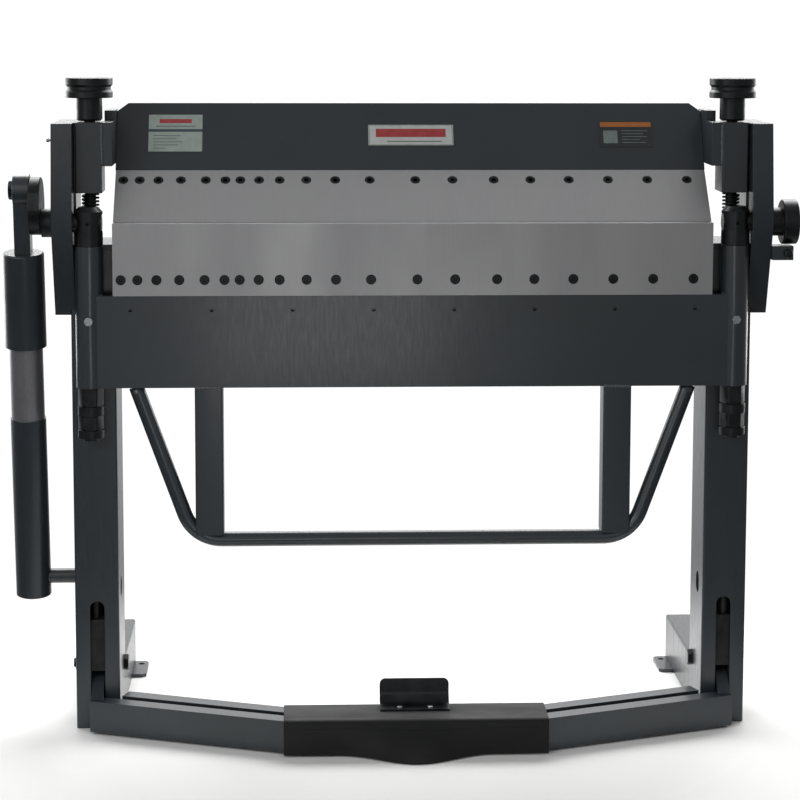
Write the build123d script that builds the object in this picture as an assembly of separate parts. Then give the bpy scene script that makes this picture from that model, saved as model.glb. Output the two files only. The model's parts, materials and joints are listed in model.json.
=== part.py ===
from build123d import *
import os
from math import atan2, cos, degrees, hypot, radians, sin, sqrt

os.makedirs("parts", exist_ok=True)

# Foot-operated box-and-pan folding brake, 1270 mm nominal, closed and clamped.
# Working frame: origin on the bend line at the middle of the machine, +X to the
# operator's right, +Y to the rear, +Z up.  Lengths are in millimetres.

# ---- Driving dimensions ----------------------------------------------------
BEND_LENGTH = 1270.0           # length of the fingers, leaf bar and bed
AXIS_HEIGHT = 1106.0           # bend line above the floor
PLAY = 0.3                     # gap between faces of different moving bodies
FIT = 0.05                     # radial running clearance of shafts and pins
BEAM_LIFT = 47.0               # opening of the clamping beam

# Frame
LEG_INNER = BEND_LENGTH / 2 - 1
LEG_WIDTH = 95.0
LEG_DEPTH = 160.0
LEG_WALL = 6.0
LEG_GAP = 1.0                  # leg's front face behind the posts
LEG_TOP = -49.0
TOP_PLATE_T = 12.0
SLOT_PLAY = 5.0                # slot wider than the lever
SLOT_TOP = 282.0               # slot crown above the floor
WINDOW_HEIGHT = 47.0
WINDOW_WIDTH = 36.0
WINDOW_ABOVE_FLOOR = 300.0
RAIL_WIDTH = 84.0
RAIL_HEIGHT = 108.0
RAIL_WALL = 5.0
RAIL_REAR = 549.0
TAB_REACH = 32.0
TAB_LENGTH = 115.0
TAB_T = 8.0
TAB_HOLE_R = 7.0
PLATE_T = 44.0                 # side plates
PLATE_GAP = 2.0                # side plate beside the post
GUIDE_T = 4.0                  # side plate beside the end block
PLATE_TOP = 209.0
PLATE_BOTTOM = -200.0
PLATE_FRONT = -34.0            # front edge at the bend line
GUIDE_CLEAR = 1.0              # guide strip behind the swing of the knuckle's top
BED_PLATE_T = 30.0
BED_NOSE_DEPTH = 60.0
BED_BEAM_FRONT = 44.0
BED_BEAM_BOTTOM = -270.0
BED_BEAM_WALL = 8.0

# Leaf
SEGMENT_T = 25.0
SEGMENT_HEIGHT = 153.0
SEGMENT_GAP = 0.25
PANEL_BOTTOM = -349.0
BACK_PLATE_T = 12.0
BACK_PLATE_TOP = -80.0
LEAF_SCREW_Z = -119.0
TAPPED_PITCH = 171.0
TAPPED_COUNT = 8
TAPPED_R = 4.25
TAPPED_DEPTH = 15.0
TAPPED_Z = -183.0
POST_X = BEND_LENGTH / 2 + 51
POST_R = 30.0
KNUCKLE_TOP = 34.0
KNUCKLE_CHAMFER = 10.0
STUD_R = 15.0
STUD_STACK = (40.0, 20.0, 31.0, 17.0)   # nut, collar, nut, collar heights
NUT_AF = 48.0
COLLAR_R = 28.0
LOCK_SCREW_Z = -206.0
LOCK_SCREW_AF = 17.0
HANDLE_TUBE_R = 16.0
HANDLE_WALL = 3.0
HANDLE_TOP_X = 589.0
HANDLE_LOW_X = 469.0
HANDLE_DROP = 331.0
HANDLE_BEND = 85.0
HANDLE_Y = -6.0
HANDLE_STRUT = 60.0
HANDLE_STRUT_X = 435.0
SHAFT_R = 20.0
BUSH_R = 26.0
CRANK_R = 61.0
CRANK_OFFSET = 36.0            # disc centre above the bend line
CRANK_PIN = 69.0               # pin centre above the bend line
CRANK_T = 24.0
CRANK_FLAT = 2.6               # depth of the flat on the rim
CRANK_FLAT_TURN = 13.0         # flat above level, degrees
NECK_LENGTH = 21.0
NECK_R = 30.0
DISC_R = 47.5
DISC_T = 33.0

# Clamping beam
FINGER_T = 28.0
FINGER_LENGTH = 146.0          # along the 45 degree face
FINGER_SCREW_S = 118.0         # screw centre up that face
FINGER_SETBACK = 0.8
FINGER_BAR_T = 25.0
FINGER_BAR_START = 62.0
BEAM_LEAN = 30.0
BEAM_FACE = 162.0
BEAM_T = 14.0
BEAM_CHAMFER = (24.0, 20.0)
BACK_T = 12.0
RIB_T = 10.0
RIB_COUNT = 6
BLOCK_WIDTH = 56.0
BLOCK_FRONT = 15.0
BLOCK_DEPTH = 89.0
BLOCK_BOTTOM = 61.0
BLOCK_TOP = 210.0
BRACKET_BOTTOM = 118.0
BRACKET_TOP = 232.0
ROD_R = 12.0
ROD_BEHIND = 23.0              # pull rod's axis behind the leg's front wall
KNOB_STEM_R = 27.5
KNOB_STEM = 49.0
KNOB_R = 50.0
KNOB_T = 42.0
KNOB_GROOVE_R = 46.0
SPRING_PLAY = 2.0              # wire clear of the pull rod
SPRING_WIRE_R = 2.5
SPRING_PITCH = 7.6

# Screws of the fingers and leaf segments, from the left end; seams lie midway
FIRST_SCREW = 17.0
SCREW_PITCHES = (35, 40, 48, 53, 42, 32, 40, 44, 57, 62, 74, 98, 80, 89, 79, 83, 85, 85, 86)
SCREW_HEAD_R = 10.2
SCREW_HEAD_T = 12.0
SCREW_SHANK_R = 6.0
HEAD_RECESS = 0.4              # screw heads below the ground faces

# Pedal
PEDAL_CLEAR = 5.0              # under the pedal when it is down
PEDAL_BAR_H = 68.0
PEDAL_BAR_W = 38.0
PEDAL_BAR_WALL = 4.0
PEDAL_GAP = 22.0
REAR_BAR_SHORT = 11.0          # middle of the rear bar's end inside the leg
PEDAL_FRONT = -175.0
PEDAL_CORNER_X = 268.0
PEDAL_END_PAST = 15.5          # end of the bar's front face past the leg's middle
PEDAL_END_GAP = 5.0            # bar clear of the leg's front face
LEVER_T = 26.0
PIVOT_HEIGHT = 112.0           # pedal pivot above the floor
LEVER_EYE_R = 24.0
LEVER_EYE_GAP = 2.4            # eye clear of the leg's rear wall
PIVOT_BOLT_R = 10.0
CLEVIS_PIN_R = 8.0
CLEVIS_TOP = 240.0             # above the floor
CLEVIS_CHEEK = 12.0
CLEVIS_FORK = 36.5             # crotch of the fork above the pin
CLEVIS_ROUND = 6.0
TREAD_LENGTH = 556.0
TREAD_T = 5.0
TREAD_LIP = 15.0
BULGE_WIDTH = 326.0
BULGE_DEPTH = 60.0
BULGE_HEIGHT = 62.0
TOE_WIDTH = 148.0
TOE_HEIGHT = 57.0
TOE_T = 4.0
TOE_BEND = 28.0

# Counterbalance strut, measured along its own axis from the lower pivot
STRUT_OUT = 18.5               # strut's axis beyond the crank's face
STRUT_FOOT_Y = 110.0
STRUT_FOOT_Z = -785.0
STRUT_BAR_R = 16.0
INNER_R = 35.5
INNER_BORE_R = 30.0
INNER_TOP = 572.0
COVER_R = 38.0
COVER_TOP = 362.0
FOOT_BELOW = 40.0
SLEEVE_R = 44.0
SLEEVE_BOTTOM = 522.0
SLEEVE_TOP = 727.0
SLEEVE_CAP = 20.0
END_BAR_T = 34.0
END_BAR_W = 46.0
END_EYE_R = 34.0
PISTON_R = 28.5
PISTON_ROD_R = 8.0
PISTON_AT = 200.0

# ---- Derived places ---------------------------------------------------------
FLOOR = -AXIS_HEIGHT
LEG_OUTER = LEG_INNER + LEG_WIDTH
LEG_X = LEG_INNER + LEG_WIDTH / 2
LEG_FRONT = POST_R + LEG_GAP
LEG_REAR = LEG_FRONT + LEG_DEPTH
ROD_Y = LEG_FRONT + LEG_WALL + ROD_BEHIND
SLOT_WIDTH = LEVER_T + SLOT_PLAY
PLATE_IN = POST_X + max(POST_R + PLATE_GAP, BLOCK_WIDTH / 2 + GUIDE_T)
PLATE_OUT = PLATE_IN + PLATE_T
NECK_END = PLATE_OUT + 0.5 + NECK_LENGTH
CRANK_END = NECK_END + CRANK_T
BLOCK_IN = POST_X - BLOCK_WIDTH / 2
BLOCK_OUT = POST_X + BLOCK_WIDTH / 2
SPRING_COIL_R = ROD_R + SPRING_WIRE_R + SPRING_PLAY
KNOB_SEAT = BLOCK_TOP + 2
KNOB_TOP = KNOB_SEAT + KNOB_STEM + KNOB_T
PIVOT_Z = FLOOR + PIVOT_HEIGHT
PIVOT_Y = LEG_REAR - LEG_WALL - LEVER_EYE_R - LEVER_EYE_GAP
LEVER_ARM = PIVOT_Y - ROD_Y
CLEVIS_PIN_Z = PIVOT_Z - BEAM_LIFT / 2
PEDAL_LOW = FLOOR + PEDAL_CLEAR
PEDAL_TOP = PEDAL_LOW + PEDAL_BAR_H
PEDAL_END_X = LEG_X + PEDAL_END_PAST
PEDAL_END_Y = LEG_FRONT - PEDAL_BAR_W - PEDAL_END_GAP
TREAD_FRONT = PEDAL_FRONT - TREAD_LIP
STRUT_X = -CRANK_END - STRUT_OUT
STRUT_LENGTH = hypot(STRUT_FOOT_Y, CRANK_PIN - STRUT_FOOT_Z)
STRUT_LEAN = degrees(atan2(STRUT_FOOT_Y, CRANK_PIN - STRUT_FOOT_Z))
STRUT = Location((STRUT_X, STRUT_FOOT_Y, STRUT_FOOT_Z), (STRUT_LEAN, 0, 0))

# The finished frame stands on the floor under the middle of the whole machine.
LEFT_END = STRUT_X - SLEEVE_R
RIGHT_END = NECK_END + DISC_T
FRONT_END = TREAD_FRONT - BULGE_DEPTH
TO_ORIGIN = Pos(-(LEFT_END + RIGHT_END) / 2, -(FRONT_END + RAIL_REAR) / 2, AXIS_HEIGHT)

screw_x = [-BEND_LENGTH / 2 + FIRST_SCREW]
for pitch in SCREW_PITCHES:
    screw_x.append(screw_x[-1] + pitch)
seams = [(a + b) / 2 for a, b in zip(screw_x, screw_x[1:])]
segment_ends = list(zip([-BEND_LENGTH / 2] + seams, seams + [BEND_LENGTH / 2]))


# ---- Helpers ----------------------------------------------------------------
def save(node, *solids):
    """Write the solids of one node, moved to the finished frame."""
    shape = Compound(children=[TO_ORIGIN * s for s in flatten(solids)])
    export_step(shape, f"parts/{node}.step")


def flatten(items):
    """Give the single solids held in nested lists and compounds."""
    found = []
    for item in items:
        if isinstance(item, (list, tuple)):
            found += flatten(item)
        else:
            found += list(item.solids())
    return found


def block(x0, x1, y0, y1, z0, z1):
    """A box between two corners."""
    middle = Pos((x0 + x1) / 2, (y0 + y1) / 2, (z0 + z1) / 2)
    return middle * Box(abs(x1 - x0), abs(y1 - y0), abs(z1 - z0))


def bar_x(r, x0, x1, y, z):
    """A round bar along X."""
    return Pos((x0 + x1) / 2, y, z) * Rot(0, 90, 0) * Cylinder(r, abs(x1 - x0))


def bar_y(r, x, y0, y1, z):
    """A round bar along Y."""
    return Pos(x, (y0 + y1) / 2, z) * Rot(90, 0, 0) * Cylinder(r, abs(y1 - y0))


def bar_z(r, x, y, z0, z1):
    """A round bar along Z."""
    return Pos(x, y, (z0 + z1) / 2) * Cylinder(r, abs(z1 - z0))


def prism(points, x0, x1):
    """A profile of (Y, Z) points carried along X."""
    face = Plane.YZ.offset(x0) * make_face(Polyline(*points, close=True))
    return extrude(face, amount=x1 - x0)


def both(solid):
    """A right-hand piece and its left-hand mirror image."""
    return [solid, mirror(solid, about=Plane.YZ)]


def cap_screw(shank):
    """A socket head screw, its head from 0 down and its socket facing +Z."""
    head = Pos(0, 0, -SCREW_HEAD_T / 2) * Cylinder(SCREW_HEAD_R, SCREW_HEAD_T)
    head = chamfer(head.edges().group_by(Axis.Z)[-1], 1.2)
    stem = Pos(0, 0, -SCREW_HEAD_T - shank / 2) * Cylinder(SCREW_SHANK_R, shank)
    socket = Pos(0, 0, -6) * extrude(RegularPolygon(5, 6, major_radius=False), amount=6.5)
    return head + stem - socket


def hexagon(af, z0, z1, bore=0.0):
    """An upright hexagon nut or head between two heights, chamfered by a cone."""
    body = Pos(0, 0, z0) * extrude(RegularPolygon(af / 2, 6, major_radius=False), amount=z1 - z0)
    round_off = Pos(0, 0, (z0 + z1) / 2) * Cylinder(af / 2 * 1.12, z1 - z0)
    body = body & chamfer(round_off.edges(), af * 0.05)
    if bore:
        body -= Pos(0, 0, (z0 + z1) / 2) * Cylinder(bore, z1 - z0 + 2)
    return body


def coil(coil_r, wire_r, pitch, z0, z1):
    """An open helical spring between two heights, the wire within them."""
    height = z1 - z0 - 2 * wire_r
    path = Helix(pitch=pitch, height=height, radius=coil_r)
    section = Plane(origin=path @ 0, z_dir=path % 0) * Circle(wire_r)
    return Pos(0, 0, z0 + wire_r) * sweep(section, path=path)


# ---- Frame ------------------------------------------------------------------
def leg():
    """Right leg: a rectangular tube, slotted in front for the pedal lever."""
    tube = block(LEG_INNER, LEG_OUTER, LEG_FRONT, LEG_REAR, FLOOR, LEG_TOP - TOP_PLATE_T)
    tube = fillet(tube.edges().filter_by(Axis.Z), 5)
    hollow = block(LEG_INNER + LEG_WALL, LEG_OUTER - LEG_WALL, LEG_FRONT + LEG_WALL,
                   LEG_REAR - LEG_WALL, FLOOR - 1, LEG_TOP)
    crown = FLOOR + SLOT_TOP - SLOT_WIDTH / 2
    slot = block(LEG_X - SLOT_WIDTH / 2, LEG_X + SLOT_WIDTH / 2, LEG_FRONT - 1,
                 LEG_FRONT + LEG_WALL + 1, FLOOR - 1, crown)
    slot += bar_y(SLOT_WIDTH / 2, LEG_X, LEG_FRONT - 1, LEG_FRONT + LEG_WALL + 1, crown)
    window_z = FLOOR + WINDOW_ABOVE_FLOOR
    window = Plane.YZ.offset(LEG_INNER - 1) * Pos(LEG_FRONT + 65, window_z) * Rot(0, 0, 90) \
        * SlotOverall(WINDOW_HEIGHT, WINDOW_WIDTH)
    bolt_hole = bar_x(PIVOT_BOLT_R, LEG_INNER - 1, LEG_OUTER + 1, PIVOT_Y, PIVOT_Z)
    return tube - hollow - slot - extrude(window, amount=LEG_WALL + 2) - bolt_hole


def leg_top_plate():
    """Cap of the right leg, bored for the pull rod."""
    plate = block(LEG_INNER, LEG_OUTER, LEG_FRONT, LEG_REAR, LEG_TOP - TOP_PLATE_T, LEG_TOP)
    return plate - bar_z(ROD_R + 1, POST_X, ROD_Y, LEG_TOP - TOP_PLATE_T - 1, LEG_TOP + 1)


def base_rail():
    """Right base rail: a rectangular tube closed at the rear, open against the leg."""
    rail = block(LEG_INNER + 2, LEG_INNER + 2 + RAIL_WIDTH, LEG_REAR, RAIL_REAR, FLOOR, FLOOR + RAIL_HEIGHT)
    rail = fillet(rail.edges().filter_by(Axis.Y), 5)
    return rail - block(LEG_INNER + 2 + RAIL_WALL, LEG_INNER + 2 + RAIL_WIDTH - RAIL_WALL, LEG_REAR - 1,
                        RAIL_REAR - RAIL_WALL, FLOOR + RAIL_WALL, FLOOR + RAIL_HEIGHT - RAIL_WALL)


def anchor_tab():
    """Right floor tab, drilled near its rear end."""
    rear = RAIL_REAR - 9
    tab = block(LEG_INNER + 2 - TAB_REACH, LEG_INNER + 2, rear - TAB_LENGTH, rear, FLOOR, FLOOR + TAB_T)
    tab = chamfer(tab.edges().filter_by(Axis.Z).group_by(Axis.X)[0], 8)
    return tab - bar_z(TAB_HOLE_R, LEG_INNER + 2 - TAB_REACH / 2, rear - 25, FLOOR - 1, FLOOR + TAB_T + 1)


def side_plate():
    """Right side plate: stepped over the leg's shoulder and bored for the pivot bush."""
    outline = [(PLATE_FRONT, 0), (PLATE_FRONT + 27, PLATE_TOP), (LEG_REAR - 1, PLATE_TOP),
               (LEG_REAR - 1, PLATE_BOTTOM), (LEG_FRONT + 4, PLATE_BOTTOM)]
    plate = prism(outline, PLATE_IN, PLATE_OUT)
    plate = chamfer(plate.edges().filter_by(Axis.X).group_by(Axis.Z)[-1], 2)
    shoulder = block(PLATE_IN - 1, LEG_OUTER, LEG_FRONT, LEG_REAR + 1, PLATE_BOTTOM - 1, LEG_TOP)
    return plate - shoulder - bar_x(BUSH_R, PLATE_IN - 1, PLATE_OUT + 1, 0, 0)


def pivot_bush():
    """Right bronze bush of the leaf pivot."""
    return bar_x(BUSH_R, PLATE_IN, PLATE_OUT, 0, 0) - bar_x(SHAFT_R + FIT, PLATE_IN - 1, PLATE_OUT + 1, 0, 0)


def guide_strip():
    """Right wear strip that guides the end block."""
    front = KNUCKLE_TOP + GUIDE_CLEAR
    return block(BLOCK_OUT + PLAY, PLATE_IN, front, BLOCK_FRONT + BLOCK_DEPTH, LEG_TOP, PLATE_TOP)


leg_r = leg()
save("leg_right", leg_r)
save("leg_left", mirror(leg_r, about=Plane.YZ))
save("leg_top_plates", both(leg_top_plate()))
save("base_rails", both(base_rail()))
save("anchor_tabs", both(anchor_tab()))
save("side_plates", both(side_plate()))
save("pivot_bushes", both(pivot_bush()))
save("guide_strips", both(guide_strip()))

bed_section = [(0.6, 0), (LEG_REAR - 1, 0), (LEG_REAR - 1, -BED_PLATE_T), (BED_BEAM_FRONT, -BED_PLATE_T),
               (BED_BEAM_FRONT - 30, -BED_NOSE_DEPTH), (0.6, -BED_NOSE_DEPTH)]
save("bed_top_plate", prism(bed_section, -LEG_INNER, LEG_INNER))
beam_outer = block(-LEG_INNER, LEG_INNER, BED_BEAM_FRONT, LEG_REAR - 1, BED_BEAM_BOTTOM, -BED_PLATE_T)
beam_inner = block(-LEG_INNER - 1, LEG_INNER + 1, BED_BEAM_FRONT + BED_BEAM_WALL,
                   LEG_REAR - 1 - BED_BEAM_WALL, BED_BEAM_BOTTOM + BED_BEAM_WALL, -BED_PLATE_T - BED_BEAM_WALL)
save("bed_beam", beam_outer - beam_inner)

stop_bracket_z = (-DISC_R - 32.5, -DISC_R - 2.5)
stop_screw_x = PLATE_OUT + 33
stop_screw_z = sum(stop_bracket_z) / 2
bracket = block(PLATE_OUT, PLATE_OUT + 45, -25, 25, *stop_bracket_z)
save("stop_bracket", bracket - bar_y(5, stop_screw_x, -26, 26, stop_screw_z))
stop_head = bar_y(9.5, stop_screw_x, -37, -25, stop_screw_z)
stop_head = fillet(stop_head.edges().group_by(Axis.Y)[0], 4)
save("stop_screw", stop_head + bar_y(5, stop_screw_x, -25, 34, stop_screw_z))
nipple_z = PLATE_TOP - 37
nipple = bar_x(3, -PLATE_OUT - 8, -PLATE_OUT, 40, nipple_z)
nipple += bar_x(4.5, -PLATE_OUT - 14, -PLATE_OUT - 8, 40, nipple_z)
save("guide_grease_nipple", chamfer(nipple.edges().group_by(Axis.X)[0], 1.5))
save("strut_pivot_bar", bar_x(STRUT_BAR_R, STRUT_X - INNER_R + 6, -LEG_OUTER, STRUT_FOOT_Y, STRUT_FOOT_Z))
bolt_head = Pos(LEG_INNER, PIVOT_Y, PIVOT_Z) * Rot(0, -90, 0) * hexagon(32, 0, 10)
bolt_nut = Pos(LEG_OUTER, PIVOT_Y, PIVOT_Z) * Rot(0, 90, 0) * hexagon(32, 0, 12)
pivot_bolt = bar_x(PIVOT_BOLT_R, LEG_INNER, LEG_OUTER + 16, PIVOT_Y, PIVOT_Z) + bolt_head + bolt_nut
save("pedal_pivot_bolts", both(pivot_bolt))


# ---- Leaf -------------------------------------------------------------------
def leaf_segment(x0, x1, x_screw):
    """One ground segment of the leaf bar with its counterbored screw hole."""
    body = block(x0 + SEGMENT_GAP / 2, x1 - SEGMENT_GAP / 2, -SEGMENT_T, -PLAY, -SEGMENT_HEIGHT, -PLAY)
    body -= bar_y(SCREW_HEAD_R + 0.5, x_screw, -SEGMENT_T - 1, -SEGMENT_T + HEAD_RECESS + SCREW_HEAD_T,
                  LEAF_SCREW_Z)
    return body - bar_y(SCREW_SHANK_R, x_screw, -SEGMENT_T, 1, LEAF_SCREW_Z)


def leaf_panel():
    """Painted front panel, scribed to the posts, with a row of tapped holes."""
    reach = POST_X - 8
    panel = block(-reach, reach, -SEGMENT_T, -PLAY, PANEL_BOTTOM, -SEGMENT_HEIGHT - PLAY)
    for side in (-1, 1):
        panel -= bar_z(POST_R + FIT, side * POST_X, 0, PANEL_BOTTOM - 1, 0)
    for i in range(TAPPED_COUNT):
        x = (i - (TAPPED_COUNT - 1) / 2) * TAPPED_PITCH
        panel -= bar_y(TAPPED_R, x, -SEGMENT_T - 1, -SEGMENT_T + TAPPED_DEPTH, TAPPED_Z)
    return panel


save("leaf_panel", leaf_panel())
save("leaf_segments", [leaf_segment(a, b, x) for (a, b), x in zip(segment_ends, screw_x)])
back_plate = block(-BEND_LENGTH / 2, BEND_LENGTH / 2, -PLAY, BACK_PLATE_T, PANEL_BOTTOM + 4, BACK_PLATE_TOP)
leaf_screws = []
for x in screw_x:
    back_plate -= bar_y(SCREW_SHANK_R, x, -1, BACK_PLATE_T + 1, LEAF_SCREW_Z)
    facing = Location((x, -SEGMENT_T + HEAD_RECESS, LEAF_SCREW_Z), (90, 0, 0))
    leaf_screws.append(facing * cap_screw(SEGMENT_T - SCREW_HEAD_T + BACK_PLATE_T - 2))
save("leaf_back_plate", back_plate)
save("leaf_segment_screws", leaf_screws)

post = bar_z(POST_R, POST_X, 0, PANEL_BOTTOM - 1, LEG_TOP)
post -= bar_z(STUD_R + FIT, POST_X, 0, PANEL_BOTTOM - 2, 0)
post -= bar_y(5, POST_X, -POST_R - 1, 0, LOCK_SCREW_Z)
save("leaf_posts", both(post))
knuckle = bar_z(POST_R, POST_X, 0, LEG_TOP + 1, KNUCKLE_TOP)
knuckle = chamfer(knuckle.edges().group_by(Axis.Z)[-1], KNUCKLE_CHAMFER)
knuckle -= bar_x(SHAFT_R, POST_X - POST_R - 1, POST_X + POST_R + 1, 0, 0)
knuckle -= bar_y(4, POST_X, -POST_R - 1, 0, 0)
knuckle -= bar_z(STUD_R, POST_X, 0, LEG_TOP, -SHAFT_R - 4)
save("pivot_knuckles", both(knuckle))
stack_bottom = PANEL_BOTTOM - 1.2 - sum(STUD_STACK)
save("leaf_studs", both(bar_z(STUD_R, POST_X, 0, stack_bottom - 6, -SHAFT_R - 4.2)))
nuts = []
collars = []
z = PANEL_BOTTOM - 1.2
for i, height in enumerate(STUD_STACK):
    if i % 2 == 0:
        nuts.append(Pos(POST_X, 0, 0) * hexagon(NUT_AF, z - height, z, STUD_R))
    else:
        collar = bar_z(COLLAR_R, POST_X, 0, z - height, z)
        collars.append(collar - bar_z(STUD_R, POST_X, 0, z - height - 1, z + 1))
    z -= height
save("stud_nuts", [both(n) for n in nuts])
save("stud_collars", [both(c) for c in collars])
lock_screw = Pos(POST_X, -POST_R, LOCK_SCREW_Z) * Rot(90, 0, 0) * hexagon(LOCK_SCREW_AF, 0, 7)
save("post_lock_screws", both(lock_screw + bar_y(5, POST_X, -POST_R, -STUD_R - 0.3, LOCK_SCREW_Z)))

corner_z = PANEL_BOTTOM - HANDLE_DROP
handle_line = Plane.XZ.offset(-HANDLE_Y) * FilletPolyline(
    (-HANDLE_TOP_X, PANEL_BOTTOM), (-HANDLE_LOW_X, corner_z), (HANDLE_LOW_X, corner_z),
    (HANDLE_TOP_X, PANEL_BOTTOM), radius=HANDLE_BEND)
handle_end = Plane(origin=handle_line @ 0, z_dir=handle_line % 0)
handle_full = sweep(handle_end * Circle(HANDLE_TUBE_R), path=handle_line)
handle_bore = sweep(handle_end * Circle(HANDLE_TUBE_R - HANDLE_WALL), path=handle_line)
above_panel = block(-HANDLE_TOP_X - 50, HANDLE_TOP_X + 50, -60, 60, PANEL_BOTTOM, PANEL_BOTTOM + 60)
save("handle_tube", handle_full - handle_bore - above_panel)
half = HANDLE_STRUT / 2
strut_tube = block(HANDLE_STRUT_X - half, HANDLE_STRUT_X + half, -SEGMENT_T, -SEGMENT_T + HANDLE_STRUT,
                   corner_z, PANEL_BOTTOM)
strut_tube = fillet(strut_tube.edges().filter_by(Axis.Z), 4)
strut_tube -= block(HANDLE_STRUT_X - half + 4, HANDLE_STRUT_X + half - 4, -SEGMENT_T + 4,
                    -SEGMENT_T + HANDLE_STRUT - 4, corner_z - 1, PANEL_BOTTOM + 1)
strut_tube -= block(0, BEND_LENGTH, -SEGMENT_T - 1, HANDLE_STRUT, corner_z - 1, corner_z + HANDLE_TUBE_R - 4)
save("handle_struts", both(strut_tube - handle_full))

shaft_r = bar_x(SHAFT_R, POST_X - POST_R + 2, NECK_END + DISC_T - 6, 0, 0)
shaft_l = bar_x(SHAFT_R, -(NECK_END + CRANK_T - 1), -(POST_X - POST_R + 2), 0, 0)
save("pivot_shafts", shaft_r, shaft_l)
neck_start = PLATE_OUT + 0.5
crank = bar_x(CRANK_R, -CRANK_END, -NECK_END, 0, CRANK_OFFSET)
crank = chamfer(crank.edges(), 2)
flat = block(-CRANK_END - 1, -NECK_END + 1, -CRANK_R - 1, -CRANK_R + CRANK_FLAT, -CRANK_R, CRANK_R)
crank -= Pos(0, 0, CRANK_OFFSET) * Rot(-CRANK_FLAT_TURN, 0, 0) * flat
crank += bar_x(NECK_R, -NECK_END, -neck_start, 0, 0)
save("crank", crank - bar_x(SHAFT_R, -CRANK_END - 1, -neck_start + 1, 0, 0))
disc = chamfer(bar_x(DISC_R, NECK_END, NECK_END + DISC_T, 0, 0).edges(), 2)
disc += bar_x(NECK_R, neck_start, NECK_END, 0, 0)
save("stop_disc", disc - bar_x(SHAFT_R, neck_start - 1, NECK_END + DISC_T - 5, 0, 0))


# ---- Clamping beam ----------------------------------------------------------
def on_slope(s, depth):
    """A (Y, Z) point s up the fingers' front face and depth behind it."""
    tip = (FINGER_SETBACK, 0.5)
    return (tip[0] + (s + depth) / sqrt(2), tip[1] + (s - depth) / sqrt(2))


def finger(x0, x1, x_screw):
    """One ground finger, bevelled at 45 degrees to the bend line."""
    section = [on_slope(0, 0), on_slope(FINGER_LENGTH, 0), on_slope(FINGER_LENGTH, FINGER_T),
               on_slope(FINGER_T, FINGER_T)]
    body = prism(section, x0 + SEGMENT_GAP / 2, x1 - SEGMENT_GAP / 2)
    seat = screw_seat(x_screw)
    sink = SCREW_HEAD_T + HEAD_RECESS
    body -= seat * Pos(0, 0, -sink / 2 + 1) * Cylinder(SCREW_HEAD_R + 0.5, sink + 2)
    return body - seat * Pos(0, 0, -FINGER_T / 2) * Cylinder(SCREW_SHANK_R, FINGER_T + 4)


def screw_seat(x):
    """The place of a finger screw, +Z standing out of the front face."""
    y, z = on_slope(FINGER_SCREW_S, 0)
    return Location((x, y, z), (45, 0, 0))


save("fingers", [finger(a, b, x) for (a, b), x in zip(segment_ends, screw_x)])
bar_end = FINGER_T + 0.1 + FINGER_BAR_T
finger_bar = prism([on_slope(FINGER_BAR_START, FINGER_T + 0.1), on_slope(FINGER_LENGTH, FINGER_T + 0.1),
                    on_slope(FINGER_LENGTH, bar_end), on_slope(FINGER_BAR_START, bar_end)],
                   -BEND_LENGTH / 2, BEND_LENGTH / 2)
finger_screws = []
for x in screw_x:
    hole = screw_seat(x) * Pos(0, 0, -FINGER_T - 10) * Cylinder(SCREW_SHANK_R, 24)
    finger_bar -= hole
    finger_screws.append(screw_seat(x) * Pos(0, 0, -HEAD_RECESS) * cap_screw(FINGER_T - SCREW_HEAD_T + 18))
save("finger_bar", finger_bar)
save("finger_screws", finger_screws)

lean = radians(BEAM_LEAN)
foot_y, foot_z = on_slope(FINGER_LENGTH, 0)
beam_foot = (foot_y + 0.8, foot_z + 0.8)
half_beam = BEND_LENGTH / 2 + 1
face_plane = Plane(origin=(0, *beam_foot), x_dir=(1, 0, 0), z_dir=(0, -cos(lean), sin(lean)))
cut_x, cut_s = BEAM_CHAMFER
face_outline = [(-half_beam, 0), (half_beam, 0), (half_beam, BEAM_FACE - cut_s),
                (half_beam - cut_x, BEAM_FACE), (-half_beam + cut_x, BEAM_FACE), (-half_beam, BEAM_FACE - cut_s)]
face_sheet = face_plane * make_face(Polyline(*face_outline, close=True))
save("beam_front_plate", extrude(face_sheet, amount=-BEAM_T))


def behind_face(s, depth):
    """A (Y, Z) point s up the beam's front plate and depth behind its face."""
    foot_y, foot_z = beam_foot
    return (foot_y + s * sin(lean) + depth * cos(lean), foot_z + s * cos(lean) - depth * sin(lean))


corner = on_slope(FINGER_LENGTH, bar_end)
back_y = behind_face(BEAM_FACE, BEAM_T)[0] - 8
back_top = behind_face(BEAM_FACE, BEAM_T)[1] - 16
flange_z = corner[1] - BACK_T
back_outline = [(corner[0] + 0.2, flange_z), (back_y + BACK_T, flange_z), (back_y + BACK_T, back_top),
                (back_y, back_top), (back_y, flange_z + BACK_T), (corner[0] + 0.2, flange_z + BACK_T)]
save("beam_back_plate", prism(back_outline, -half_beam, half_beam))
rib_low = behind_face(2, BEAM_T + 0.8)
rib_outline = [(corner[0] + 1, flange_z + BACK_T + 0.2), (back_y - 0.2, flange_z + BACK_T + 0.2),
               (back_y - 0.2, back_top - 2), rib_low]
ribs = []
for i in range(RIB_COUNT):
    x = (i - (RIB_COUNT - 1) / 2) * (BEND_LENGTH - 40) / (RIB_COUNT - 1)
    ribs.append(prism(rib_outline, x - RIB_T / 2, x + RIB_T / 2))
save("beam_ribs", ribs)

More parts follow.
